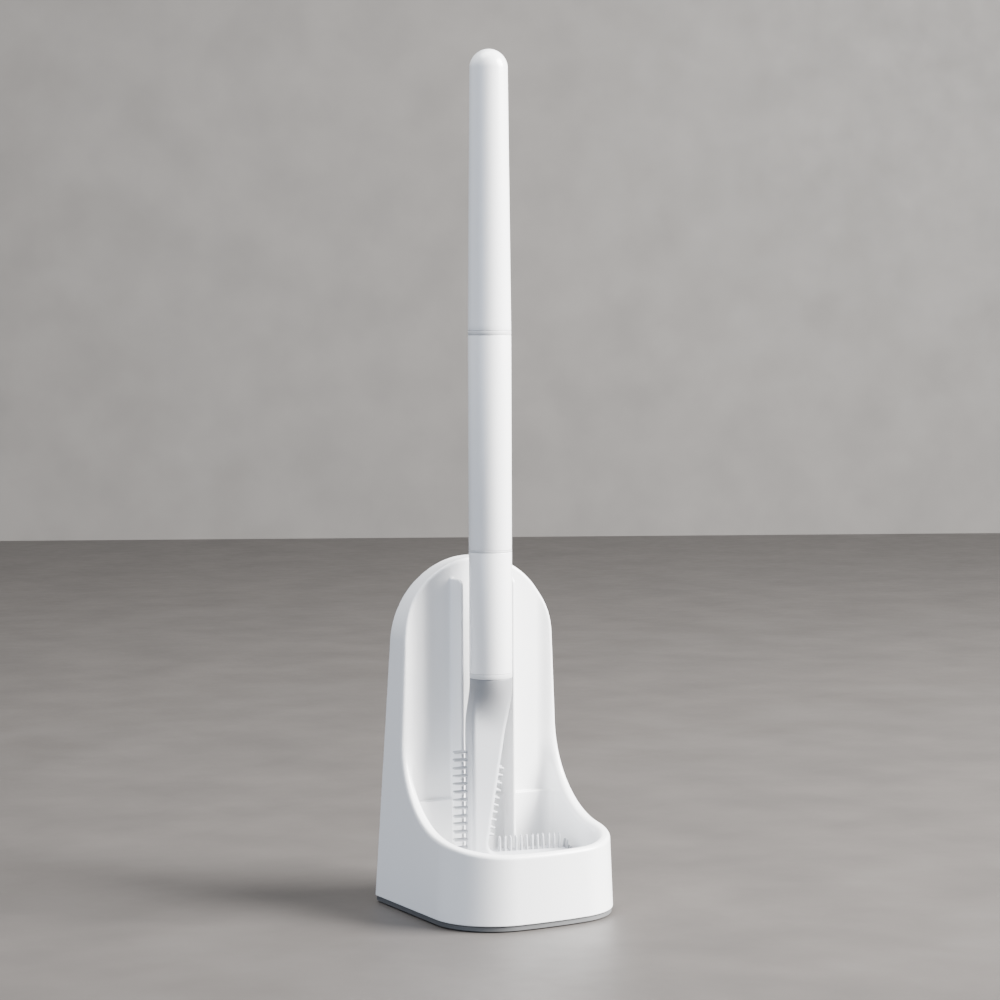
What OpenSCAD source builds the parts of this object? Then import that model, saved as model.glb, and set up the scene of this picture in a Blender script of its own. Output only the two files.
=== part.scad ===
// Toilet brush and holder: an open-fronted caddy with an arched back and two guide fins,
// and a sectional brush that stands in it. Origin: centre of the footprint, on the floor.
// +Z up, the open front faces -Y.

/* [Holder] */
// Width of the holder at the floor
holder_w = 97; // [82:1:120]
// Depth of the holder at the floor
holder_d = 98; // [84:1:120]
// Height of the top of the arch
holder_h = 176; // [148:1:214]
// Radius of the two front corners at the floor
corner_r = 32.5; // [20:0.5:38]
// Radius of the bowed front wall
bow_r = 200; // [120:5:400]
// Inward draft of the side and front walls, degrees
side_draft = 2.3; // [0.5:0.1:3]
// Forward lean of the back wall, degrees
back_lean = 3.4; // [0:0.1:5]
// Height of the front lip
lip_h = 36.4; // [30:0.1:50]
// Upward slope of the lip towards the back, degrees
lip_slope = 10; // [4:0.1:16]
// Radius of the scoop between the lip and the upright edges
scoop_r = 46.5; // [36:0.5:50]
// Distance from the back of the footprint to the upright front edges
edge_back = 24; // [20:0.1:30]
// Thickness of the shell's skins
skin = 1.8; // [1.2:0.1:2.2]

/* [Tub] */
// Rim width at the sides, measured on the floor plan
side_rim = 8; // [7:0.1:10]
// Rim width at the front, measured on the floor plan
front_rim = 6.6; // [5.6:0.1:8]
// Rim width round the front corners, measured on the floor plan
corner_rim = 7; // [5.6:0.1:9]
// Radius of the coves between the back panel and the side walls
cove_r = 6; // [3:0.5:8]
// Height of the tub's floor
tub_floor = 12; // [11:0.5:16]
// Distance from the back of the footprint to the back panel
panel_back = 22; // [20:0.5:25]
// Height of the ledge across the back panel
ledge_z = 53.5; // [40:0.5:60]
// Depth of the ledge
ledge_d = 2.3; // [1:0.1:3]

/* [Guide fins] */
// Clearance each side between the handle and the fins, with the handle midway
fin_clear = 3.3; // [2.6:0.1:5]
// Thickness of a fin
fin_t = 1.75; // [1.2:0.05:3]
// Distance that the fins stand out from the back panel
fin_out = 11; // [8:0.5:12]
// Distance from the top of the arch down to the top of the fins
fin_below_top = 10.4; // [8:0.5:20]
// Radius of the fins' top front corner
fin_r = 3.5; // [1:0.5:6]

/* [Base] */
// Height of the gap under the plate that the foot pads keep
foot_proud = 0.6; // [0.4:0.1:1.5]
// Thickness of the base plate
plate_t = 2; // [1.6:0.1:3]
// Shadow gap between the base plate and the shell
shadow_gap = 0.4; // [0.2:0.1:1]
// Inset of the base plate's edge from the shell's
plate_inset = 0.8; // [0.4:0.1:2]
// Height of the locating rim and the screw seats on the plate
seat_h = 1.6; // [1.2:0.1:2]
// Diameter of a foot pad
foot_d = 10; // [8:0.5:12]
// Depth of a foot pad's recess in the plate
foot_sunk = 0.8; // [0.5:0.1:1]
// Diameter of the screw shank
screw_d = 2.9; // [2.5:0.1:3.2]
// Diameter of the screw head
screw_head_d = 5.6; // [5:0.1:6]
// Height of the screw head
screw_head_h = 1.6; // [1.2:0.1:1.6]
// Thickness left between the front screws' tips and the top of the tub's floor
screw_cover = 1.6; // [1.4:0.1:3]
// Outside diameter of the screw bosses
boss_d = 8; // [7:0.5:9]
// Height of the rear screw bosses above their seats
boss_h = 20; // [12:1:40]

/* [Handle] */
// Overall height of the brush in the holder
overall_h = 429.4; // [360:0.1:520]
// Outside diameter of the handle tubes
tube_d = 21.6; // [19:0.1:24]
// Diameter of the grip at its domed end
grip_end_d = 19; // [16:0.1:20]
// Wall of the handle sections
tube_wall = 2; // [1.5:0.1:3]
// Length of the lower handle section
lower_len = 61; // [50:0.1:80]
// Length of the middle handle section
middle_len = 107.2; // [85:0.1:130]
// Thickness of the flange under the grip
grip_flange = 2.2; // [1:0.1:4]
// Thickness of the flange between the middle and lower sections
mid_flange = 1; // [0.6:0.1:3]
// Thickness of the flange above the brush head
head_flange = 2.4; // [1:0.1:3]
// Length of the spigots inside the handle sections
spigot_len = 13; // [8:0.5:20]

/* [Brush head] */
// Angle by which the toe points forward of +X
toe_turn = 12; // [8:1:20]
// Clearance between the head and the left fin
head_pass = 0.3; // [0.2:0.1:1]
// Clearance between the toe's bristles and the tub's side wall
toe_gap = 0.7; // [0.6:0.1:6]
// Length of the head from its lower bristle tips to the top of its collar
head_len = 104.3; // [96:0.1:115]
// Thickness of the head
head_t = 13.4; // [11:0.1:16.1]
// Distance from the axis to the outer edge of the blade
heel_out = 12.2; // [10.5:0.1:15]
// Height of the toe, from its underside to its top
toe_h = 10.8; // [9:0.1:13]
// Radius of the heel
heel_r = 9; // [6:0.5:10]
// Radius of the fillet between the blade and the toe
crotch_r = 6; // [3:0.5:8]
// Half width of the blade on the toe's side, where it leaves the collar
blade_top_in = 6.4; // [4:0.1:8]
// Where the blade's inner edge would meet the toe, from the axis
blade_low_in = -4.4; // [-5:0.1:-1]
// Length of the collar and its transition into the blade
collar_h = 20; // [17:0.5:26]
// Thickness of the rigid core inside the head
core_t = 5; // [4:0.1:6]
// Cover of soft material over the core
cover = 3.2; // [2.5:0.1:3.5]

/* [Bristles] */
// Root diameter of a bristle
bristle_d = 1.7; // [1.2:0.1:2]
// Tip diameter of a bristle
bristle_tip_d = 1.2; // [0.8:0.1:1.6]
// Length of the bristles on the outer edge and the toe's top
bristle_l = 7; // [4:0.1:7]
// Length of the bristles under the head
under_l = 5.2; // [3:0.1:6.2]
// Length of the bristles at the end of the toe
end_l = 2; // [1.5:0.1:5]
// Length of the bristles on the inner edge
inner_l = 3.4; // [2.4:0.1:6]
// Spacing of the bristles on the outer edge
row_pitch = 4.05; // [3.6:0.05:6]
// Spacing of the bristles on the toe's top
toe_pitch = 2.9; // [2.6:0.1:5]
// Spacing of the columns across the head
col_pitch = 3.9; // [3:0.1:4]

/* [Hidden] */
$fn = 96;

// Clearances
spigot_gap = 0.05;   // radial, spigot in a tube
rim_gap = 0.3;       // locating rim to the shell
foot_gap = 0.2;      // radial, pad in its recess
screw_gap = 0.05;    // radial, screw in its boss
head_gap = 0.4;      // radial, screw head in its counterbore
shank_gap = 0.25;    // radial, screw in the plate
stand_gap = 0.3;     // lowest bristle tips to the tub's floor
blend = 0.02;        // by which one of two tangent surfaces stands proud, so that they cross
far = 300;           // length that reaches past the whole object

// Holder outline
half_w = holder_w / 2;
front_y = -holder_d / 2;
back_y = holder_d / 2;
draft = tan(side_draft);
bow_y = front_y + bow_r;
corner_x = half_w - corner_r;
corner_y = bow_y - sqrt(pow(bow_r - corner_r, 2) - pow(corner_x, 2));
arch_z = (holder_h - half_w * cos(side_draft)) / (1 - draft * cos(side_draft));
arch_r = holder_h - arch_z;

// Scoop: a sloping lip, an arc, and the upright edges
edge_y = back_y - edge_back;
lip_m = tan(lip_slope);
scoop_y = edge_y - scoop_r;
scoop_z = lip_h + lip_m * (scoop_y - front_y) + scoop_r / cos(lip_slope);

// Tub
tub_half = half_w - side_rim;
tub_front = front_y + front_rim;
tub_corner_r = corner_r - corner_rim;
panel_y = back_y - panel_back;
fin_gap = tube_d + 2 * fin_clear;
fin_y = panel_y - fin_out;

// Base stack, from the floor up
plate_z = foot_proud;
plate_top = plate_z + plate_t;
shell_z = plate_top + shadow_gap;
seat_z = plate_top + seat_h;
seat_t = 1.8;
head_seat_z = seat_z - seat_t;
screw_len = tub_floor - screw_cover - head_seat_z;
screw_taper = 1.2;
foot_top = foot_proud + foot_sunk;
rim_t = 1.5;
front_foot = [half_w - 22.5, front_y + 17];
rear_foot = [half_w - 8.5, back_y - 9];
screw_to_foot = 12;
front_screw = [front_foot.x - screw_to_foot, front_foot.y + 2];
rear_screw = [rear_foot.x - screw_to_foot, back_y - boss_d / 2 - 1.5];

// Heights on the brush
head_low = tub_floor + stand_gap;
head_top = head_low + head_len;
lower_z = head_top + head_flange;
mid_flange_z = lower_z + lower_len;
middle_z = mid_flange_z + mid_flange;
grip_flange_z = middle_z + middle_len;
grip_z = grip_flange_z + grip_flange;
tube_r = tube_d / 2;
bore_r = tube_r - tube_wall;
spigot_r = bore_r - spigot_gap;
spigot_bore = spigot_r - 1.9;
grip_end_r = grip_end_d / 2;

// Head, in its own frame: +X to the toe, -Y to the front
head_r = tube_r - 0.1;
toe_low = head_low + under_l;
toe_top = toe_low + toe_h;
toe_r = toe_h / 2;
blade_top = head_top - collar_h;
insert_r = 8;
stub_r = 6;
stub_len = 15;
insert_low = head_top - stub_len - 0.5;
inner_turn = atan((blade_top_in - blade_low_in) / (blade_top - toe_top));
columns = [for (i = [0:1]) i * col_pitch - 0.3];
inner_columns = [for (i = [0:1]) i * col_pitch - 2.2];

// Brush axis on the floor plan: the blade's outer face passes the left fin's front corner,
// and the bristles on the outer edge pass in front of the fin
brush_y = fin_y - head_pass - bristle_d / 2 - columns[1] * cos(toe_turn)
    - (heel_out + fin_t) * sin(toe_turn);
fin_meet = (fin_y - brush_y - heel_out * sin(toe_turn)) / cos(toe_turn);
brush_x = head_pass - fin_gap / 2 + heel_out * cos(toe_turn) - fin_meet * sin(toe_turn);
toe_out = (tub_half - toe_gap - brush_x) / cos(toe_turn) - end_l;

// ---- Holder ----

// Front view of the holder: drafted sides under a half-round arch
module arch_view(inset) {
    r = arch_r - inset;
    side = half_w - (inset + blend) / cos(side_draft);
    meet = [(r - blend) * cos(side_draft), arch_z + (r - blend) * sin(side_draft)];
    polygon([[-side, 0], [side, 0], meet, [-meet.x, meet.y]]);
    translate([0, arch_z]) circle(r);
}

// Side view: under the lip, behind the scoop and in front of the back wall,
// drawn as x = depth and y = height
module scoop_view(inset) {
    r = scoop_r + inset;
    lip = lip_h - inset / cos(lip_slope);
    back = back_y - inset / cos(back_lean);
    difference() {
        polygon([
            [front_y - 5, 0],
            [back, 0],
            [back - far * tan(back_lean), far],
            [edge_y + inset, far],
            [edge_y + inset, scoop_z],
            [scoop_y, scoop_z],
            [scoop_y + r * sin(lip_slope), scoop_z - r * cos(lip_slope)],
            [front_y - 5, lip - lip_m * 5]
        ]);
        translate([scoop_y, scoop_z]) circle(r + blend, $fn = 180);
    }
}

// Front of the holder: two drafted corners and a drafted bow between them
module front_form(inset) {
    h = lip_h + 30;
    fall = h * draft;
    for (side = [-1, 1])
        translate([side * corner_x, corner_y, 0])
            cylinder(h = h, r1 = corner_r - inset, r2 = corner_r - inset - fall);
    intersection() {
        translate([0, bow_y, 0])
            cylinder(h = h, r1 = bow_r - inset - blend, r2 = bow_r - inset - blend - fall,
                     $fn = 360);
        linear_extrude(h)
            polygon([
                [-corner_x, corner_y],
                [corner_x, corner_y],
                [corner_x + (corner_x / (bow_y - corner_y)) * far / 5, corner_y - far / 5],
                [-corner_x - (corner_x / (bow_y - corner_y)) * far / 5, corner_y - far / 5]
            ]);
    }
}

// Whole outer form, moved inwards by inset
module holder_form(inset) {
    intersection() {
        union() {
            front_form(inset);
            translate([0, far / 2, 0])
                rotate([90, 0, 0])
                    linear_extrude(far / 2 - corner_y) arch_view(inset);
        }
        translate([-far / 2, 0, 0])
            rotate([90, 0, 90])
                linear_extrude(far) scoop_view(inset);
    }
}

// Floor plan with two round front corners, a bowed front and round back corners
module floor_plan(half, front, back, r, bow, back_r) {
    by = front + bow;
    cx = half - r;
    cy = by - sqrt(pow(bow - r, 2) - pow(cx, 2));
    side = half - blend;
    translate([-side, cy]) square([2 * side, back - back_r - cy]);
    translate([back_r - side, cy]) square([2 * (side - back_r), back - blend - cy]);
    for (side = [-1, 1]) {
        translate([side * cx, cy]) circle(r);
        if (back_r > 0)
            translate([side * (half - back_r), back - back_r]) circle(back_r);
    }
    intersection() {
        translate([0, by]) circle(bow - blend, $fn = 360);
        polygon([
            [-cx, cy],
            [cx, cy],
            [cx * (1 + 60 / (by - cy)), cy - 60],
            [-cx * (1 + 60 / (by - cy)), cy - 60]
        ]);
    }
}

// Space inside the tub and in front of the back panel, moved outwards by grow
module tub_space(grow) {
    half = tub_half + grow;
    front = tub_front - grow;
    translate([0, 0, tub_floor - grow])
        linear_extrude(ledge_z - tub_floor)
            floor_plan(half, front, panel_y - ledge_d + grow, tub_corner_r + grow,
                       bow_r - front_rim + grow, cove_r + grow);
    translate([0, 0, ledge_z - grow])
        linear_extrude(far)
            floor_plan(half, front, panel_y + grow, tub_corner_r + grow,
                       bow_r - front_rim + grow, cove_r + grow);
}

// One guide fin, standing on the tub's floor against the panel
module fin(side) {
    top = holder_h - fin_below_top;
    root = panel_y + skin / 2;
    x = side * (fin_gap + fin_t) / 2;
    translate([x - fin_t / 2, 0, 0])
        rotate([90, 0, 90])
            linear_extrude(fin_t) {
                translate([fin_y, tub_floor - skin / 2])
                    square([root - fin_y, top - fin_r - tub_floor + skin / 2]);
                translate([fin_y + fin_r, tub_floor])
                    square([root - fin_y - fin_r, top - tub_floor]);
                translate([fin_y + fin_r, top - fin_r]) circle(fin_r);
            }
}

// Places a child at each screw: the front pair under the tub, the rear pair behind it
module at_screws(front = true, rear = true) {
    for (side = [-1, 1]) {
        if (front) translate([side * front_screw.x, front_screw.y, 0]) children();
        if (rear) translate([side * rear_screw.x, rear_screw.y, 0]) children();
    }
}

module holder_shell() {
    color("white")
        difference() {
            union() {
                difference() {
                    intersection() {
                        holder_form(0);
                        translate([-far / 2, -far / 2, shell_z]) cube(far);
                    }
                    tub_space(0);
                    difference() {
                        holder_form(skin);
                        tub_space(skin);
                    }
                }
                fin(-1);
                fin(1);
                at_screws(rear = false)
                    translate([0, 0, seat_z])
                        cylinder(h = tub_floor - skin / 2 - seat_z, d = boss_d, $fn = 48);
                at_screws(front = false)
                    translate([0, 0, seat_z]) cylinder(h = boss_h, d = boss_d, $fn = 48);
            }
            at_screws()
                translate([0, 0, seat_z - 1])
                    cylinder(h = screw_len - seat_t + 1.5, r = screw_d / 2 + screw_gap, $fn = 32);
        }
}

// ---- Base ----

module plate_outline(inset) {
    floor_plan(half_w - inset, front_y + inset, back_y - inset, corner_r - inset,
               bow_r - inset, 0);
}

module base_plate() {
    rim_in = skin + rim_gap + seat_z * draft + (shell_z * tan(back_lean));
    color("gray")
        difference() {
            union() {
                translate([0, 0, plate_z]) linear_extrude(plate_t) plate_outline(plate_inset);
                translate([0, 0, plate_z])
                    linear_extrude(plate_t + seat_h)
                        difference() {
                            plate_outline(rim_in);
                            plate_outline(rim_in + rim_t);
                        }
                intersection() {
                    at_screws()
                        translate([0, 0, plate_z])
                            cylinder(h = plate_t + seat_h, d = boss_d + 2, $fn = 48);
                    linear_extrude(far) plate_outline(rim_in);
                }
            }
            at_screws() {
                translate([0, 0, -1])
                    cylinder(h = head_seat_z + 1, r = screw_head_d / 2 + head_gap, $fn = 48);
                cylinder(h = seat_z + 1, r = screw_d / 2 + shank_gap, $fn = 32);
            }
            for (side = [-1, 1], at = [front_foot, rear_foot])
                translate([side * at.x, at.y, -1])
                    cylinder(h = foot_top + 1, r = foot_d / 2 + foot_gap, $fn = 48);
        }
}

module base_screw() {
    translate([0, 0, head_seat_z - screw_head_h])
        difference() {
            cylinder(h = screw_head_h, d = screw_head_d, $fn = 48);
            translate([0, 0, -1])
                for (turn = [0, 90])
                    rotate([0, 0, turn]) translate([-1.5, -0.3, 0]) cube([3, 0.6, 1.9]);
        }
    translate([0, 0, head_seat_z]) cylinder(h = screw_len - screw_taper, d = screw_d, $fn = 32);
    translate([0, 0, head_seat_z + screw_len - screw_taper])
        cylinder(h = screw_taper, d1 = screw_d, d2 = screw_d / 2, $fn = 32);
}

module base_screws() {
    color("silver") at_screws() base_screw();
}

module foot_pad(side, at) {
    color("dimgray")
        translate([side * at.x, at.y, 0]) {
            translate([0, 0, 0.4]) cylinder(h = foot_top - 0.4, d = foot_d, $fn = 48);
            cylinder(h = 0.4, d1 = foot_d - 0.8, d2 = foot_d, $fn = 48);
        }
}

module foot_pad_front_left() {
    foot_pad(-1, front_foot);
}

module foot_pad_front_right() {
    foot_pad(1, front_foot);
}

module foot_pad_rear_left() {
    foot_pad(-1, rear_foot);
}

module foot_pad_rear_right() {
    foot_pad(1, rear_foot);
}

// ---- Handle ----

module on_brush_axis() {
    translate([brush_x, brush_y, 0]) rotate([0, 0, -toe_turn]) children();
}

// Half profile of the grip, moved inwards by inset: a taper that ends in a dome
module grip_profile(inset) {
    dome_z = overall_h - grip_end_r;
    intersection() {
        union() {
            polygon([
                [0, grip_z], [tube_r - inset, grip_z],
                [grip_end_r - inset, dome_z], [0, dome_z]
            ]);
            translate([0, dome_z]) circle(grip_end_r - inset);
        }
        translate([0, grip_z]) square([tube_d, far]);
    }
}

module upper_grip() {
    socket = spigot_len + 2;
    color("white")
        on_brush_axis()
            difference() {
                rotate_extrude() grip_profile(0);
                rotate_extrude()
                    intersection() {
                        grip_profile(tube_wall + 0.4);
                        translate([0, grip_z + socket - 0.01]) square([tube_d, far]);
                    }
                translate([0, 0, grip_z - 1]) cylinder(h = socket + 1, r = bore_r);
            }
}

// A flange between two handle sections, with a hollow spigot up and a spigot down
module connector(flange_z, flange, up_r, down_r, down_len, bore) {
    color("gainsboro")
        on_brush_axis()
            difference() {
                union() {
                    translate([0, 0, flange_z - down_len]) cylinder(h = down_len, r = down_r);
                    translate([0, 0, flange_z]) cylinder(h = flange, r = tube_r);
                    translate([0, 0, flange_z + flange]) cylinder(h = spigot_len, r = up_r);
                }
                translate([0, 0, flange_z - down_len - 1])
                    cylinder(h = down_len + flange + spigot_len + 2, r = bore, $fn = 48);
            }
}

module upper_connector() {
    connector(grip_flange_z, grip_flange, spigot_r, spigot_r, spigot_len, spigot_bore);
}

module lower_connector() {
    connector(mid_flange_z, mid_flange, spigot_r, spigot_r, spigot_len, spigot_bore);
}

module head_connector() {
    connector(head_top, head_flange, spigot_r, stub_r, stub_len, stub_r - 2);
}

module handle_tube(z, len) {
    color("white")
        on_brush_axis()
            translate([0, 0, z])
                difference() {
                    cylinder(h = len, r = tube_r);
                    translate([0, 0, -1]) cylinder(h = len + 2, r = bore_r);
                }
}

module middle_tube() {
    handle_tube(middle_z, middle_len);
}

module lower_tube() {
    handle_tube(lower_z, lower_len);
}

// ---- Brush head ----

// Draws a side view, x = towards the toe and y = height, as a slab of thickness t
module slab(t) {
    translate([0, t / 2, 0]) rotate([90, 0, 0]) linear_extrude(t) children();
}

// Side view of the blade and toe: a narrowing blade, a round heel and a round toe
module head_view() {
    polygon([
        [blend - heel_out, toe_low + heel_r],
        [blend - heel_out, blade_top],
        [blade_top_in, blade_top],
        [blade_low_in, toe_top - blend],
        [toe_out - toe_r, toe_top - blend],
        [toe_out - toe_r, toe_low + blend],
        [heel_r - heel_out, toe_low + blend]
    ]);
    translate([heel_r - heel_out, toe_low + heel_r]) circle(heel_r);
    translate([toe_out - toe_r, toe_low + toe_r]) circle(toe_r);
    crotch_fillet();
}

// Concave fillet between the blade's inner edge and the toe's top
module crotch_fillet() {
    reach = crotch_r * tan((90 - inner_turn) / 2);
    centre = [blade_low_in + reach, toe_top + crotch_r];
    along = [blade_low_in + reach * sin(inner_turn), toe_top + reach * cos(inner_turn)];
    difference() {
        polygon([[blade_low_in - 1, toe_top - 1], [centre.x, toe_top - 1], centre, along,
                 [along.x - 1, along.y]]);
        translate(centre) circle(crotch_r + blend);
    }
}

// Side view of the rigid core, held back from the head's surface by the cover
module core_view() {
    low = toe_low + cover;
    high = toe_top - cover;
    polygon([
        [-heel_out + cover + 2, low],
        [toe_out - toe_r, low],
        [toe_out - toe_r, high],
        [blade_low_in - cover + 2, high + 2],
        [blade_top_in - cover, blade_top],
        [blade_top_in - cover, insert_low + 1],
        [-insert_r + 1, insert_low + 1],
        [-heel_out + cover, blade_top],
        [-heel_out + cover, low + 2]
    ]);
}

module core_solid() {
    slab(core_t) core_view();
    translate([0, 0, insert_low]) cylinder(h = head_top - insert_low, r = insert_r);
}

module head_insert() {
    color("lightgray")
        on_brush_axis()
            difference() {
                core_solid();
                translate([0, 0, head_top - stub_len - 0.2])
                    cylinder(h = stub_len + 1, r = stub_r + spigot_gap);
            }
}

// A row of bristles across the head at a point of its side view, leaving it at an angle
module bristle_row(x, z, angle, len, cols) {
    root = 1;
    for (y = cols)
        translate([x, y, z])
            rotate([0, 90 - angle, 0])
                translate([0, 0, -root])
                    cylinder(h = len + root, d1 = bristle_d, d2 = bristle_tip_d, $fn = 16);
}

module bristles() {
    edge_low = toe_low + heel_r + 4;
    edge_top = blade_top - 14;
    edge_n = floor((edge_top - edge_low) / row_pitch);
    for (i = [0:edge_n])
        bristle_row(-heel_out, edge_low + i * row_pitch, 180, bristle_l, columns);
    for (angle = [200, 225, 250])
        bristle_row(heel_r * (1 + cos(angle)) - heel_out, toe_low + heel_r * (1 + sin(angle)),
                    angle, under_l + 0.2, inner_columns);
    for (x = [heel_r - heel_out + 2:row_pitch:toe_out - toe_r])
        bristle_row(x, toe_low, 270, under_l, inner_columns);
    for (angle = [-50, -10])
        bristle_row(toe_out - toe_r + toe_r * cos(angle), toe_low + toe_r + toe_r * sin(angle),
                    angle, end_l, inner_columns);
    // The last two stand nearly upright and shorten towards the toe's end
    end_lean = 1 / 3;
    end_rise = 0.05;
    for (angle = [30, 60])
        bristle_row(toe_out - toe_r + toe_r * cos(angle), toe_low + toe_r + toe_r * sin(angle),
                    90 - (90 - angle) * end_lean, end_l + angle * end_rise, inner_columns);
    for (x = [blade_low_in + crotch_r + 2:toe_pitch:toe_out - toe_r + 1])
        bristle_row(x, toe_top, 90, bristle_l, inner_columns);
    for (i = [0:9]) {
        up = crotch_r + 3 + i * (row_pitch - 0.3);
        bristle_row(blade_low_in + up * tan(inner_turn), toe_top + up, -inner_turn, inner_l,
                    inner_columns);
    }
}

module brush_head() {
    color("gainsboro")
        on_brush_axis()
            difference() {
                union() {
                    slab(head_t) head_view();
                    hull() {
                        translate([0, 0, head_top - 3]) cylinder(h = 3, r = head_r, $fn = 48);
                        translate([-heel_out, -head_t / 2, blade_top - 1])
                            cube([heel_out + blade_top_in - 0.2, head_t, 1]);
                    }
                    bristles();
                }
                core_solid();
            }
}

holder_shell();
base_plate();
base_screws();
foot_pad_front_left();
foot_pad_front_right();
foot_pad_rear_left();
foot_pad_rear_right();
upper_grip();
upper_connector();
middle_tube();
lower_connector();
lower_tube();
head_connector();
head_insert();
brush_head();
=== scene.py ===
"""The looks of the toilet brush and its holder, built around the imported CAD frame.

Shapes are worked out in millimetres, with the frame's axes, and become meshes in metres.
The moulded shell and the soft head are signed distance fields turned into meshes, so every
rim, cove and blend is a true round; the handle sections are turned profiles.
"""

import math

import bpy
import numpy as np
from mathutils import Matrix, Vector


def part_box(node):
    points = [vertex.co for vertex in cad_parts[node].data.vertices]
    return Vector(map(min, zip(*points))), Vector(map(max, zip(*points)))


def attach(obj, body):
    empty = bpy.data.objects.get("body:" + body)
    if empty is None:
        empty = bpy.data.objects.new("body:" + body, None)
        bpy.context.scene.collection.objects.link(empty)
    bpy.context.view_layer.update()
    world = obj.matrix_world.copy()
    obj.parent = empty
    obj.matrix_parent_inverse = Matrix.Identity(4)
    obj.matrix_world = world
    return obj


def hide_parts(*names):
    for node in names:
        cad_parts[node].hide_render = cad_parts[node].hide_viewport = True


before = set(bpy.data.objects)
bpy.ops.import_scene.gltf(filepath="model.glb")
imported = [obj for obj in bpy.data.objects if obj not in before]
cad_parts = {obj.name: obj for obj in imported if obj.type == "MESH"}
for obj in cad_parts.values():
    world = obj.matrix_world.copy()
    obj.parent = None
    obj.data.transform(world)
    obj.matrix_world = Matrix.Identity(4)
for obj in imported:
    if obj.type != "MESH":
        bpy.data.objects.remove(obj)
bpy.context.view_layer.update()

MM = 0.001

# ---- Camera ----

CAMERA_AT = (-0.6636, -1.1663, 0.3003)
CAMERA_AZIMUTH = math.radians(29.564)   # clockwise from +Y
CAMERA_PITCH = math.radians(4.01)       # downwards
CAMERA_ROLL = math.radians(-0.203)
LENS_MM = 97.25


def make_camera():
    data = bpy.data.cameras.new("camera")
    data.lens = LENS_MM
    data.sensor_width = 36
    data.clip_end = 20
    camera = bpy.data.objects.new("camera", data)
    bpy.context.scene.collection.objects.link(camera)
    camera.matrix_world = (
        Matrix.Translation(CAMERA_AT)
        @ Matrix.Rotation(-CAMERA_AZIMUTH, 4, "Z")
        @ Matrix.Rotation(math.pi / 2 - CAMERA_PITCH, 4, "X")
        @ Matrix.Rotation(CAMERA_ROLL, 4, "Z")
    )
    bpy.context.scene.camera = camera


# ---- Materials ----

def plastic(name, color, roughness, grain=0.02, grain_scale=900, tint=0.015, soft=0.0, coat=0.0):
    """Moulded plastic: a faint drift of colour, a fine grain in the bump and in the gloss."""
    mat = bpy.data.materials.new(name)
    mat.use_nodes = True
    nodes, links = mat.node_tree.nodes, mat.node_tree.links
    shader = nodes["Principled BSDF"]
    coords = nodes.new("ShaderNodeTexCoord")
    drift = nodes.new("ShaderNodeTexNoise")
    drift.inputs["Scale"].default_value = 14
    drift.inputs["Detail"].default_value = 3
    ramp = nodes.new("ShaderNodeValToRGB")
    low = [c * (1 - tint) for c in color]
    high = [min(1, c * (1 + tint)) for c in color]
    ramp.color_ramp.elements[0].color = (*low, 1)
    ramp.color_ramp.elements[1].color = (*high, 1)
    ramp.color_ramp.elements[0].position = 0.3
    ramp.color_ramp.elements[1].position = 0.7
    fine = nodes.new("ShaderNodeTexNoise")
    fine.inputs["Scale"].default_value = grain_scale
    fine.inputs["Detail"].default_value = 2
    gloss = nodes.new("ShaderNodeMapRange")
    gloss.inputs["To Min"].default_value = roughness * 0.88
    gloss.inputs["To Max"].default_value = roughness * 1.12
    bump = nodes.new("ShaderNodeBump")
    bump.inputs["Strength"].default_value = grain
    bump.inputs["Distance"].default_value = 0.0002
    links.new(coords.outputs["Object"], drift.inputs["Vector"])
    links.new(coords.outputs["Object"], fine.inputs["Vector"])
    links.new(drift.outputs["Fac"], ramp.inputs["Fac"])
    links.new(ramp.outputs["Color"], shader.inputs["Base Color"])
    links.new(fine.outputs["Fac"], gloss.inputs["Value"])
    links.new(gloss.outputs["Result"], shader.inputs["Roughness"])
    links.new(fine.outputs["Fac"], bump.inputs["Height"])
    links.new(bump.outputs["Normal"], shader.inputs["Normal"])
    shader.inputs["Subsurface Weight"].default_value = soft
    shader.inputs["Subsurface Radius"].default_value = (0.004, 0.0035, 0.003)
    shader.inputs["Coat Weight"].default_value = coat
    shader.inputs["Coat Roughness"].default_value = 0.15
    return mat


def paint_shade_by_height(mat, low, high, z_low, z_high):
    """Paints shade into a material's colour: scales it from low to high between two heights, in
    metres.
    """
    nodes, links = mat.node_tree.nodes, mat.node_tree.links
    shader = nodes["Principled BSDF"]
    source = shader.inputs["Base Color"].links[0].from_socket
    coords = nodes.new("ShaderNodeTexCoord")
    split = nodes.new("ShaderNodeSeparateXYZ")
    ramp = nodes.new("ShaderNodeMapRange")
    ramp.interpolation_type = "SMOOTHSTEP"
    ramp.inputs["From Min"].default_value = z_low
    ramp.inputs["From Max"].default_value = z_high
    ramp.inputs["To Min"].default_value = low
    ramp.inputs["To Max"].default_value = high
    scale = nodes.new("ShaderNodeVectorMath")
    scale.operation = "SCALE"
    links.new(coords.outputs["Object"], split.inputs["Vector"])
    links.new(split.outputs["Z"], ramp.inputs["Value"])
    links.new(source, scale.inputs[0])
    links.new(ramp.outputs["Result"], scale.inputs["Scale"])
    links.new(scale.outputs["Vector"], shader.inputs["Base Color"])


# ---- Distance fields, in millimetres ----

def round_and(a, b, r):
    """Intersection of two fields, with its convex edge rounded to radius r."""
    corner = np.hypot(np.maximum(a + r, 0), np.maximum(b + r, 0))
    return np.minimum(np.maximum(a, b), -r) + corner


def round_or(a, b, r):
    """Union of two fields, with its concave edge filled to radius r."""
    corner = np.hypot(np.maximum(r - a, 0), np.maximum(r - b, 0))
    return np.maximum(np.minimum(a, b), r) - corner


def smooth(t):
    t = np.clip(t, 0, 1)
    return t * t * (3 - 2 * t)


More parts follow.
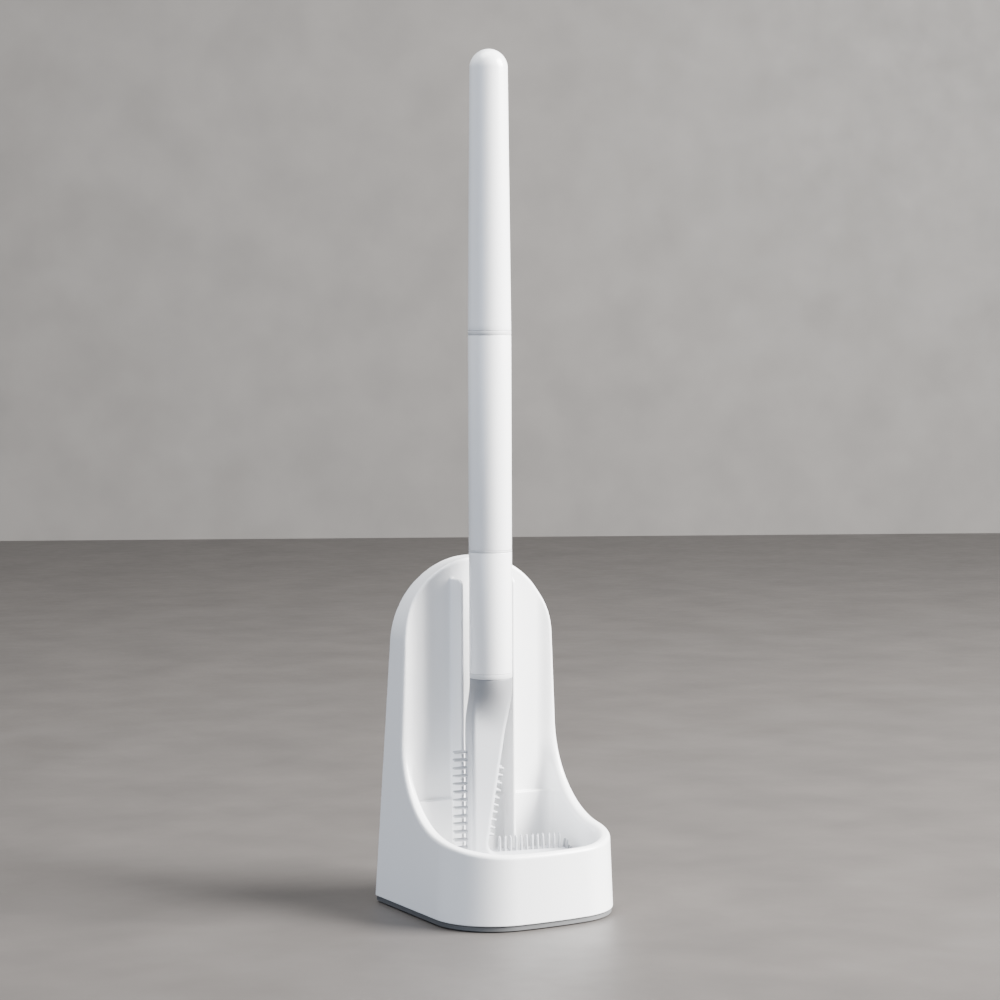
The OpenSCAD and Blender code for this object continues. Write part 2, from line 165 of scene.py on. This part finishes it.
def mesh_of(field, xs, ys, zs):
    """Surface nets over a rectilinear grid, then a few Newton steps onto the field's zero."""
    values = np.stack([field(xs[:, None], ys[None, :], z) for z in zs], axis=2)
    inside = values < 0
    corners = [
        inside[i: len(xs) - 1 + i, j: len(ys) - 1 + j, k: len(zs) - 1 + k]
        for i in (0, 1) for j in (0, 1) for k in (0, 1)
    ]
    count = np.sum(corners, axis=0, dtype=np.int8)
    active = (count > 0) & (count < 8)
    number = np.full(active.shape, -1, np.int64)
    cells = np.argwhere(active)
    number[active] = np.arange(len(cells))

    axes = (xs, ys, zs)
    total = np.zeros((len(cells), 3))
    hits = np.zeros(len(cells))
    for axis in range(3):
        others = [a for a in range(3) if a != axis]
        for m in (0, 1):
            for n in (0, 1):
                at = cells.copy()
                at[:, others[0]] += m
                at[:, others[1]] += n
                to = at.copy()
                to[:, axis] += 1
                a = values[tuple(at.T)]
                b = values[tuple(to.T)]
                cross = (a < 0) != (b < 0)
                share = np.where(cross, a / np.where(a == b, 1, a - b), 0)
                for c in range(3):
                    start, end = axes[c][at[:, c]], axes[c][to[:, c]]
                    total[:, c] += np.where(cross, start + share * (end - start), 0)
                hits += cross
    points = total / hits[:, None]

    faces = []
    for axis in range(3):
        u, v = [a for a in range(3) if a != axis]
        low = [slice(None)] * 3
        high = [slice(None)] * 3
        low[axis], high[axis] = slice(0, -1), slice(1, None)
        change = inside[tuple(low)] != inside[tuple(high)]
        edges = np.argwhere(change)
        good = ((edges[:, u] > 0) & (edges[:, v] > 0)
                & (edges[:, u] < len(axes[u]) - 1) & (edges[:, v] < len(axes[v]) - 1))
        edges = edges[good]
        ring = []
        for du, dv in ((-1, -1), (0, -1), (0, 0), (-1, 0)):
            cell = edges.copy()
            cell[:, u] += du
            cell[:, v] += dv
            ring.append(number[tuple(cell.T)])
        quads = np.stack(ring, axis=1)
        flip = inside[tuple(edges.T)]
        if axis == 1:
            flip = ~flip
        quads[~flip] = quads[~flip][:, ::-1]
        faces.append(quads)
    faces = np.concatenate(faces)

    for _ in range(5):
        slope, here = gradient(field, points)
        step = here / np.maximum((slope ** 2).sum(1), 0.05)
        points -= np.clip(step, -0.6, 0.6)[:, None] * slope
    slope, _ = gradient(field, points)
    normals = slope / np.linalg.norm(slope, axis=1)[:, None]
    return points, faces, normals


def gradient(field, points, eps=0.01):
    x, y, z = points.T
    slope = np.stack([
        field(x + eps, y, z) - field(x - eps, y, z),
        field(x, y + eps, z) - field(x, y - eps, z),
        field(x, y, z + eps) - field(x, y, z - eps),
    ], axis=1) / (2 * eps)
    return slope, field(x, y, z)


def object_from(name, points, faces, normals=None, place=None):
    """A mesh object from points in millimetres; place is a matrix in metres."""
    mesh = bpy.data.meshes.new(name)
    mesh.from_pydata((np.asarray(points) * MM).tolist(), [], list(map(tuple, faces)))
    mesh.validate()
    mesh.shade_smooth()
    if normals is not None:
        mesh.normals_split_custom_set_from_vertices(np.asarray(normals).tolist())
    if place is not None:
        mesh.transform(place)
    obj = bpy.data.objects.new(name, mesh)
    bpy.context.scene.collection.objects.link(obj)
    return obj


def steps(*stops):
    """Grid lines from (place, spacing) stops: each stretch takes the spacing at its start."""
    lines = [np.array([stops[0][0]])]
    for (start, gap), (end, _) in zip(stops, stops[1:]):
        n = max(1, round((end - start) / gap))
        lines.append(np.linspace(start, end, n + 1)[1:])
    return np.concatenate(lines)


# ---- Holder ----

HALF_W = 48.5
FRONT_Y, BACK_Y = -49.0, 49.0
CORNER_R, BOW_R = 32.5, 200.0
DRAFT = math.radians(2.3)
LEAN = math.radians(3.4)
HOLDER_H = 176.0
LIP_H, LIP_SLOPE = 36.4, math.radians(10)
SCOOP_R, EDGE_Y = 46.5, 25.0
TUB_HALF, TUB_FRONT, TUB_CORNER_R = 40.5, -42.4, 25.5
COVE_R, TUB_FLOOR = 6.0, 12.0
PANEL_Y, LEDGE_Z, LEDGE_D = 27.0, 53.5, 2.3
FIN_X, FIN_T, FIN_Y, FIN_TOP, FIN_R = 14.975, 1.75, 16.0, 165.6, 3.5
SHELL_Z, SKIN = 3.0, 1.8
RIM_OUTER_R, RIM_INNER_R = 1.8, 3.2

ARCH_Z = (HOLDER_H - HALF_W * math.cos(DRAFT)) / (1 - math.sin(DRAFT))
ARCH_R = HOLDER_H - ARCH_Z
SCOOP_Y = EDGE_Y - SCOOP_R
SCOOP_Z = LIP_H + math.tan(LIP_SLOPE) * (SCOOP_Y - FRONT_Y) + SCOOP_R / math.cos(LIP_SLOPE)


def plan(x, y, half, front, r, bow):
    """Distance in plan to a form with straight sides, round front corners and a bowed front."""
    x = np.abs(x)
    bow_y = front + bow
    cx = half - r
    cy = bow_y - math.sqrt((bow - r) ** 2 - cx ** 2)
    in_bow = x * (bow_y - cy) < cx * (bow_y - y)
    ahead = np.where(in_bow, np.hypot(x, y - bow_y) - bow, np.hypot(x - cx, y - cy) - r)
    return np.where(y < cy, ahead, x - half)


def tub_plan(x, y, back):
    """Distance in plan to the tub's space, which has coves in its back corners."""
    front = plan(x, y, TUB_HALF, TUB_FRONT, TUB_CORNER_R, BOW_R + FRONT_Y - TUB_FRONT)
    return round_and(front, y - back, COVE_R)


def lateral(x, y, z):
    """Distance to the drafted outer wall and the arch over it."""
    low = (plan(x, y, HALF_W, FRONT_Y, CORNER_R, BOW_R) + math.tan(DRAFT) * z) * math.cos(DRAFT)
    up = (z - ARCH_Z) * math.cos(DRAFT) - np.abs(x) * math.sin(DRAFT)
    arch = np.hypot(x, z - ARCH_Z) - ARCH_R
    return np.where(up > 0, arch, low)


def scoop(y, z):
    """Distance to the lip, the scoop's arc and the upright edges, in side view."""
    dy, dz = y - SCOOP_Y, z - SCOOP_Z
    lip = (z - LIP_H - math.tan(LIP_SLOPE) * (y - FRONT_Y)) * math.cos(LIP_SLOPE)
    before = dy * math.cos(LIP_SLOPE) + dz * math.sin(LIP_SLOPE) < 0
    arc = SCOOP_R - np.hypot(dy, dz)
    return np.where(dz > 0, EDGE_Y - y, np.where(before, lip, arc))


def fins(x, y, z):
    across = np.abs(np.abs(x) - FIN_X) - FIN_T / 2
    outline = round_and(FIN_Y - y, z - FIN_TOP, FIN_R)
    return np.maximum(round_and(across, outline, 0.6), y - PANEL_Y - 6)


def shell_field(x, y, z):
    x, y, z = np.broadcast_arrays(x, y, np.asarray(z, float))
    low = round_and(tub_plan(x, y, PANEL_Y - LEDGE_D), TUB_FLOOR - z, 4.0)
    high = round_and(tub_plan(x, y, PANEL_Y), LEDGE_Z - z, 0.5)
    space = round_or(low, high, 0.5)
    wall = lateral(x, y, z)
    body = round_and(scoop(y, z), -space, RIM_INNER_R)
    body = round_and(wall, body, RIM_OUTER_R)
    back = (y - BACK_Y + math.tan(LEAN) * z) * math.cos(LEAN)
    body = round_and(body, back, 0.6)
    body = round_and(body, SHELL_Z - z, 0.5)
    body = round_or(body, fins(x, y, z), 1.2)
    under = np.maximum(np.maximum(wall, back) + SKIN, z - SHELL_Z - 4)
    return np.maximum(body, -under)


def make_shell():
    half = steps((0, 1.2), (12.5, 0.35), (17.5, 1.0), (33, 0.7), (50.5, 1))
    xs = np.concatenate([-half[:0:-1], half])
    ys = steps((-50.5, 0.7), (-36, 1.0), (14, 0.5), (29, 0.8), (51, 1))
    zs = steps((1.6, 0.35), (4.5, 0.9), (30, 0.7), (51, 0.4), (56, 0.9), (178.2, 1))
    points, faces, normals = mesh_of(shell_field, xs, ys, zs)
    return object_from("moulded_shell", points, faces, normals)


# ---- Handle ----

TOE_TURN = math.radians(12)
TUBE_R, GRIP_END_R, WALL = 10.8, 9.5, 2.0
SOCKET_DEPTH, GRIP_EXTRA_WALL = 15.0, 0.4
SPIGOT_R, SPIGOT_BORE = 8.75, 6.85
STUB_R, STUB_BORE = 6.0, 4.0
EDGE_ROUND, FLANGE_ROUND, CHAMFER = 0.45, 0.2, 0.4


def brush_axis():
    """Plan position of the brush's axis, in metres."""
    low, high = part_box("lower_tube")
    return (low.x + high.x) / 2, (low.y + high.y) / 2


def brush_place():
    x, y = brush_axis()
    return Matrix.Translation((x, y, 0)) @ Matrix.Rotation(-TOE_TURN, 4, "Z")


def heights(node):
    low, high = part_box(node)
    return low.z / MM, high.z / MM


def turned(name, profile, around=144):
    """A solid of revolution about the brush's axis, from a closed loop of (radius, height)
    points; a point on the axis becomes a pole."""
    points, rings, faces = [], [], []
    for r, z in profile:
        if r < 1e-6:
            rings.append([len(points)] * around)
            points.append((0, 0, z))
        else:
            rings.append(list(range(len(points), len(points) + around)))
            angles = np.arange(around) * 2 * math.pi / around
            points += [(r * math.cos(a), r * math.sin(a), z) for a in angles]
    for ring, above in zip(rings, rings[1:] + rings[:1]):
        if ring[0] == ring[1] and above[0] == above[1]:
            continue
        for j in range(around):
            k = (j + 1) % around
            corner = (ring[j], ring[k], above[k], above[j])
            faces.append(tuple(dict.fromkeys(corner)))
    obj = object_from(name, points, faces, place=brush_place())
    obj.data.set_sharp_from_angle(angle=math.radians(35))
    return obj


def rounded_end(r, z, up, edge=EDGE_ROUND, n=5):
    """Profile points of an outer edge rounded by edge, taken from below to above."""
    sign = 1 if up else -1
    arc = [
        (r - edge + edge * math.cos(a), z - sign * edge + sign * edge * math.sin(a))
        for a in np.linspace(0, math.pi / 2, n)
    ]
    return arc if up else arc[::-1]


def make_tube(name, node):
    low, high = heights(node)
    bore = TUBE_R - WALL
    loop = rounded_end(TUBE_R, low, False) + rounded_end(TUBE_R, high, True)
    return turned(name, loop + [(bore, high), (bore, low)])


def make_grip():
    low, high = heights("upper_grip")
    socket, inner_r = low + SOCKET_DEPTH, GRIP_END_R - WALL - GRIP_EXTRA_WALL
    dome = high - GRIP_END_R
    loop = rounded_end(TUBE_R, low, False)
    for t in np.linspace(0.02, 1, 24):
        loop.append((TUBE_R + (GRIP_END_R - TUBE_R) * t, low + (dome - low) * t))
    for a in np.linspace(0, math.pi / 2, 28)[1:]:
        loop.append((max(0, GRIP_END_R * math.cos(a)), dome + GRIP_END_R * math.sin(a)))
    for a in np.linspace(math.pi / 2, 0, 12):
        loop.append((max(0, inner_r * math.cos(a)), dome + inner_r * math.sin(a)))
    loop += [(TUBE_R - WALL - 0.5, socket), (TUBE_R - WALL, socket), (TUBE_R - WALL, low)]
    return turned("grip", loop)


def make_connector(name, node, flange_low, flange_high, down_r, bore):
    """A flange between two handle sections, with its hollow spigots."""
    low, high = heights(node)
    loop = [(bore, low), (down_r - CHAMFER, low), (down_r, low + CHAMFER), (down_r, flange_low)]
    loop += rounded_end(TUBE_R, flange_low, False, FLANGE_ROUND, 3)
    loop += rounded_end(TUBE_R, flange_high, True, FLANGE_ROUND, 3)
    loop += [(SPIGOT_R, flange_high), (SPIGOT_R, high - CHAMFER), (SPIGOT_R - CHAMFER, high),
             (bore, high)]
    return turned(name, loop)


# ---- Brush head, in its own frame: s towards the toe, t to the back ----

TOE_LOW, TOE_TOP, HEAD_TOP = 17.5, 28.3, 116.6
HEEL_OUT, HEEL_R, TOE_END_R, CROTCH_R = 12.2, 9.0, 5.2, 6.0
TOE_OUT = 41.67
HALF_T, COLLAR_R, BLADE_EDGE_R = 6.7, 10.7, 2.4
INNER_AT_TOE, INNER_LEAN = -4.0, 0.16
THROAT_LOW, COLLAR_LOW = 88.0, 115.0


def inner_edge(z):
    return INNER_AT_TOE + INNER_LEAN * (z - TOE_TOP)


def head_field(s, t, z):
    """A flat blade and toe that loft into a round collar at the top."""
    view = round_or(s - inner_edge(z), z - TOE_TOP, CROTCH_R)
    view = round_and(view, s - TOE_OUT, TOE_END_R)
    view = round_and(view, TOE_LOW - z, TOE_END_R)
    view = np.maximum(view, round_and(-HEEL_OUT - s, TOE_LOW - z, HEEL_R))
    blade = round_and(view, np.abs(t) - HALF_T, BLADE_EDGE_R)
    collar = np.hypot(s, t) - COLLAR_R
    share = smooth((z - THROAT_LOW) / (COLLAR_LOW - THROAT_LOW)) ** 1.3
    return round_and((1 - share) * blade + share * collar, z - HEAD_TOP, 0.5)


def make_head():
    ss = steps((-13.4, 0.7), (12, 0.9), (36, 0.7), (43, 1))
    ts = steps((-11.6, 0.65), (11.6, 1))
    zs = steps((16.6, 0.6), (38, 1.2), (90, 0.8), (113, 0.4), (117.0, 1))
    points, faces, normals = mesh_of(head_field, ss, ts, zs)
    return object_from("soft_head", points, faces, normals, brush_place())


# ---- Bristles ----

ROOT_R, TIP_R, ROOT_SUNK = 0.76, 0.56, 1.0
STAGGER = 0.316   # shift of a row along the toe's top, for each millimetre to the back
OUTER_ROWS, INNER_ROWS = (1.2, 3.6), (-2.2, 1.7)
OUTER_L, UNDER_L, INNER_L = 7.0, 5.2, 3.4
# Place on the toe's round end, direction, both in degrees, and length
TOE_END = ((-50, -50, 2.0), (-10, -10, 2.0), (30, 70, 3.5), (60, 80, 5.0))
ROW_PITCH, TOE_PITCH = 4.05, 2.9
EDGE_LOW, EDGE_TOP = 30.5, 82.6


def bristle(base, angle, length, lean, sides=10, rings=6):
    """Points and faces of one tapered bristle in the plane of s and z, bent to one side."""
    along = np.array([math.cos(angle), 0, math.sin(angle)])
    side = np.array([0, 1, 0])
    across = np.cross(along, side)
    base = np.array(base) - along * ROOT_SUNK
    total = length + ROOT_SUNK
    stops = [(total * i / rings, ROOT_R + (TIP_R - ROOT_R) * i / rings) for i in range(rings)]
    stops += [(total - TIP_R + TIP_R * math.sin(a), TIP_R * math.cos(a)) for a in (0, 0.6, 1.1)]
    points, faces = [], []
    for d, r in stops:
        centre = base + along * d + across * lean * (d / total) ** 2
        for j in range(sides):
            a = 2 * math.pi * j / sides
            points.append(centre + r * (math.cos(a) * side + math.sin(a) * across))
    points.append(base + along * total + across * lean)
    for i in range(len(stops) - 1):
        for j in range(sides):
            k = (j + 1) % sides
            faces.append((i * sides + j, (i + 1) * sides + j, (i + 1) * sides + k, i * sides + k))
    top = (len(stops) - 1) * sides
    faces += [(top + j, len(points) - 1, top + (j + 1) % sides) for j in range(sides)]
    faces.append(tuple(range(sides)))
    return points, faces


def bristle_places():
    """(s, z, angle, length, rows) of every bristle, round the head from its outer edge."""
    for z in np.arange(EDGE_LOW, EDGE_TOP, ROW_PITCH):
        yield -HEEL_OUT, z, 180, OUTER_L, OUTER_ROWS
    for angle in (200, 225, 250):
        a = math.radians(angle)
        yield (HEEL_R * (1 + math.cos(a)) - HEEL_OUT, TOE_LOW + HEEL_R * (1 + math.sin(a)),
               angle, UNDER_L, INNER_ROWS)
    for s in np.arange(HEEL_R - HEEL_OUT + 2, TOE_OUT - TOE_END_R, ROW_PITCH):
        yield s, TOE_LOW, 270, UNDER_L - 0.1, INNER_ROWS
    end_s, end_z = TOE_OUT - TOE_END_R, TOE_LOW + TOE_END_R
    for angle, turn, length in TOE_END:
        a = math.radians(angle)
        yield (end_s + TOE_END_R * math.cos(a), end_z + TOE_END_R * math.sin(a), turn, length,
               INNER_ROWS)
    for s in np.arange(3.6, end_s + 1, TOE_PITCH):
        yield s, TOE_TOP, 90, OUTER_L, INNER_ROWS
    lean = math.degrees(math.atan(INNER_LEAN))
    for i in range(10):
        z = TOE_TOP + CROTCH_R + 3 + i * (ROW_PITCH - 0.3)
        yield float(inner_edge(z)), z, -lean, INNER_L, INNER_ROWS


def make_bristles():
    chance = np.random.default_rng(7)
    points, faces = [], []
    for s, z, angle, length, rows in bristle_places():
        for t in rows:
            turn = math.radians(angle + chance.uniform(-2, 2))
            shift = STAGGER * (t - rows[0]) if angle == 90 else 0
            new, quads = bristle((s + shift, t, z), turn, length, chance.uniform(-0.25, 0.25))
            faces += [tuple(len(points) + i for i in quad) for quad in quads]
            points += new
    return object_from("bristles", points, faces, place=brush_place())


# ---- Lights, floor ----

def area_light(name, at, aim, size, power, color=(1, 1, 1)):
    data = bpy.data.lights.new(name, "AREA")
    data.shape = "RECTANGLE"
    data.size, data.size_y = size
    data.energy = power
    data.color = color
    light = bpy.data.objects.new(name, data)
    bpy.context.scene.collection.objects.link(light)
    light.location = at
    direction = Vector(aim) - Vector(at)
    light.rotation_euler = direction.to_track_quat("-Z", "Y").to_euler()


def plane(name, corners, material):
    mesh = bpy.data.meshes.new(name)
    mesh.from_pydata(corners, [], [(0, 1, 2, 3)])
    obj = bpy.data.objects.new(name, mesh)
    bpy.context.scene.collection.objects.link(obj)
    obj.data.materials.append(material)


def make_stage():
    half = 6.0
    stone = plastic("floor_stone", (0.058, 0.053, 0.05), 0.5, grain=0.1, grain_scale=60, tint=0.12)
    plane("floor", [(-half, -half, 0), (half, -half, 0), (half, half, 0), (-half, half, 0)], stone)
    wall = plastic("wall_paint", (0.135, 0.128, 0.122), 0.6, grain=0.02, grain_scale=30, tint=0.08)
    plane("wall", [(-2.4, 3.7, 0), (3.2, 0.9, 0), (3.2, 0.9, 3), (-2.4, 3.7, 3)], wall)
    world = bpy.data.worlds.new("studio")
    bpy.context.scene.world = world
    world.use_nodes = True
    world.node_tree.nodes["Background"].inputs["Color"].default_value = (0.86, 0.9, 0.97, 1)
    world.node_tree.nodes["Background"].inputs["Strength"].default_value = 0.42
    area_light("key", (1.25, -0.95, 1.15), (0, 0, 0.2), (1.1, 1.1), 380, (1, 0.985, 0.96))
    area_light("fill", (-1.6, -0.7, 0.6), (0, 0, 0.15), (1.2, 1.2), 15, (0.64, 0.78, 1))
    area_light("top", (-0.25, 0.1, 1.7), (0, 0, 0.1), (0.9, 0.9), 40, (1, 1, 1))


# ---- Scene ----

def add(piece, body, node, material):
    piece.data.materials.append(material)
    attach(piece, body)
    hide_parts(node)


WHITE = (0.8, 0.805, 0.815)
SOFT_GREY = (0.47, 0.48, 0.505)

make_camera()
make_stage()

shell_white = plastic("shell_white", WHITE, 0.3, coat=0.15)
handle_white = plastic("handle_white", WHITE, 0.26, coat=0.2)
connector_white = plastic("connector_white", (0.55, 0.555, 0.565), 0.42)
head_grey = plastic("head_soft_grey", SOFT_GREY, 0.5, grain=0.05, soft=0.12)
# Painted shade: the head's colour darkens to 0.45 of itself just under the collar, where the scoop
# faces down and lies in shade.
paint_shade_by_height(head_grey, 1.0, 0.45, 0.084, 0.112)
bristle_grey = plastic("bristle_soft_grey", (0.42, 0.43, 0.45), 0.45, grain=0.05)
core_white = plastic("core_white", (0.75, 0.75, 0.75), 0.5)
base_grey = plastic("base_grey", (0.1, 0.102, 0.105), 0.45, grain=0.12, grain_scale=1400)
rubber = plastic("foot_rubber", (0.05, 0.05, 0.052), 0.8, grain=0.3, grain_scale=1600)
steel = plastic("screw_steel", (0.6, 0.6, 0.6), 0.3, grain=0.05)
steel.node_tree.nodes["Principled BSDF"].inputs["Metallic"].default_value = 1

add(make_shell(), "holder", "holder_shell", shell_white)
add(make_grip(), "brush", "upper_grip", handle_white)
add(make_tube("middle_section", "middle_tube"), "brush", "middle_tube",
    handle_white)
add(make_tube("lower_section", "lower_tube"), "brush", "lower_tube", handle_white)

lower_z, mid_low = heights("lower_tube")
mid_high, grip_low = heights("middle_tube")
grip_z = heights("upper_grip")[0]
add(make_connector("upper_joint", "upper_connector", grip_low, grip_z, SPIGOT_R, SPIGOT_BORE),
    "brush", "upper_connector", connector_white)
add(make_connector("lower_joint", "lower_connector", mid_low, mid_high, SPIGOT_R, SPIGOT_BORE),
    "brush", "lower_connector", connector_white)
add(make_connector("head_joint", "head_connector", HEAD_TOP, lower_z, STUB_R, STUB_BORE),
    "brush", "head_connector", connector_white)
add(make_head(), "brush", "brush_head", head_grey)
add(make_bristles(), "brush", "brush_head", bristle_grey)

CAD_LOOKS = {
    "base_plate": base_grey, "base_screws": steel, "head_insert": core_white,
    "foot_pad_front_left": rubber, "foot_pad_front_right": rubber,
    "foot_pad_rear_left": rubber, "foot_pad_rear_right": rubber,
}
for node, material in CAD_LOOKS.items():
    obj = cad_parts[node]
    obj.data.materials.clear()
    obj.data.materials.append(material)
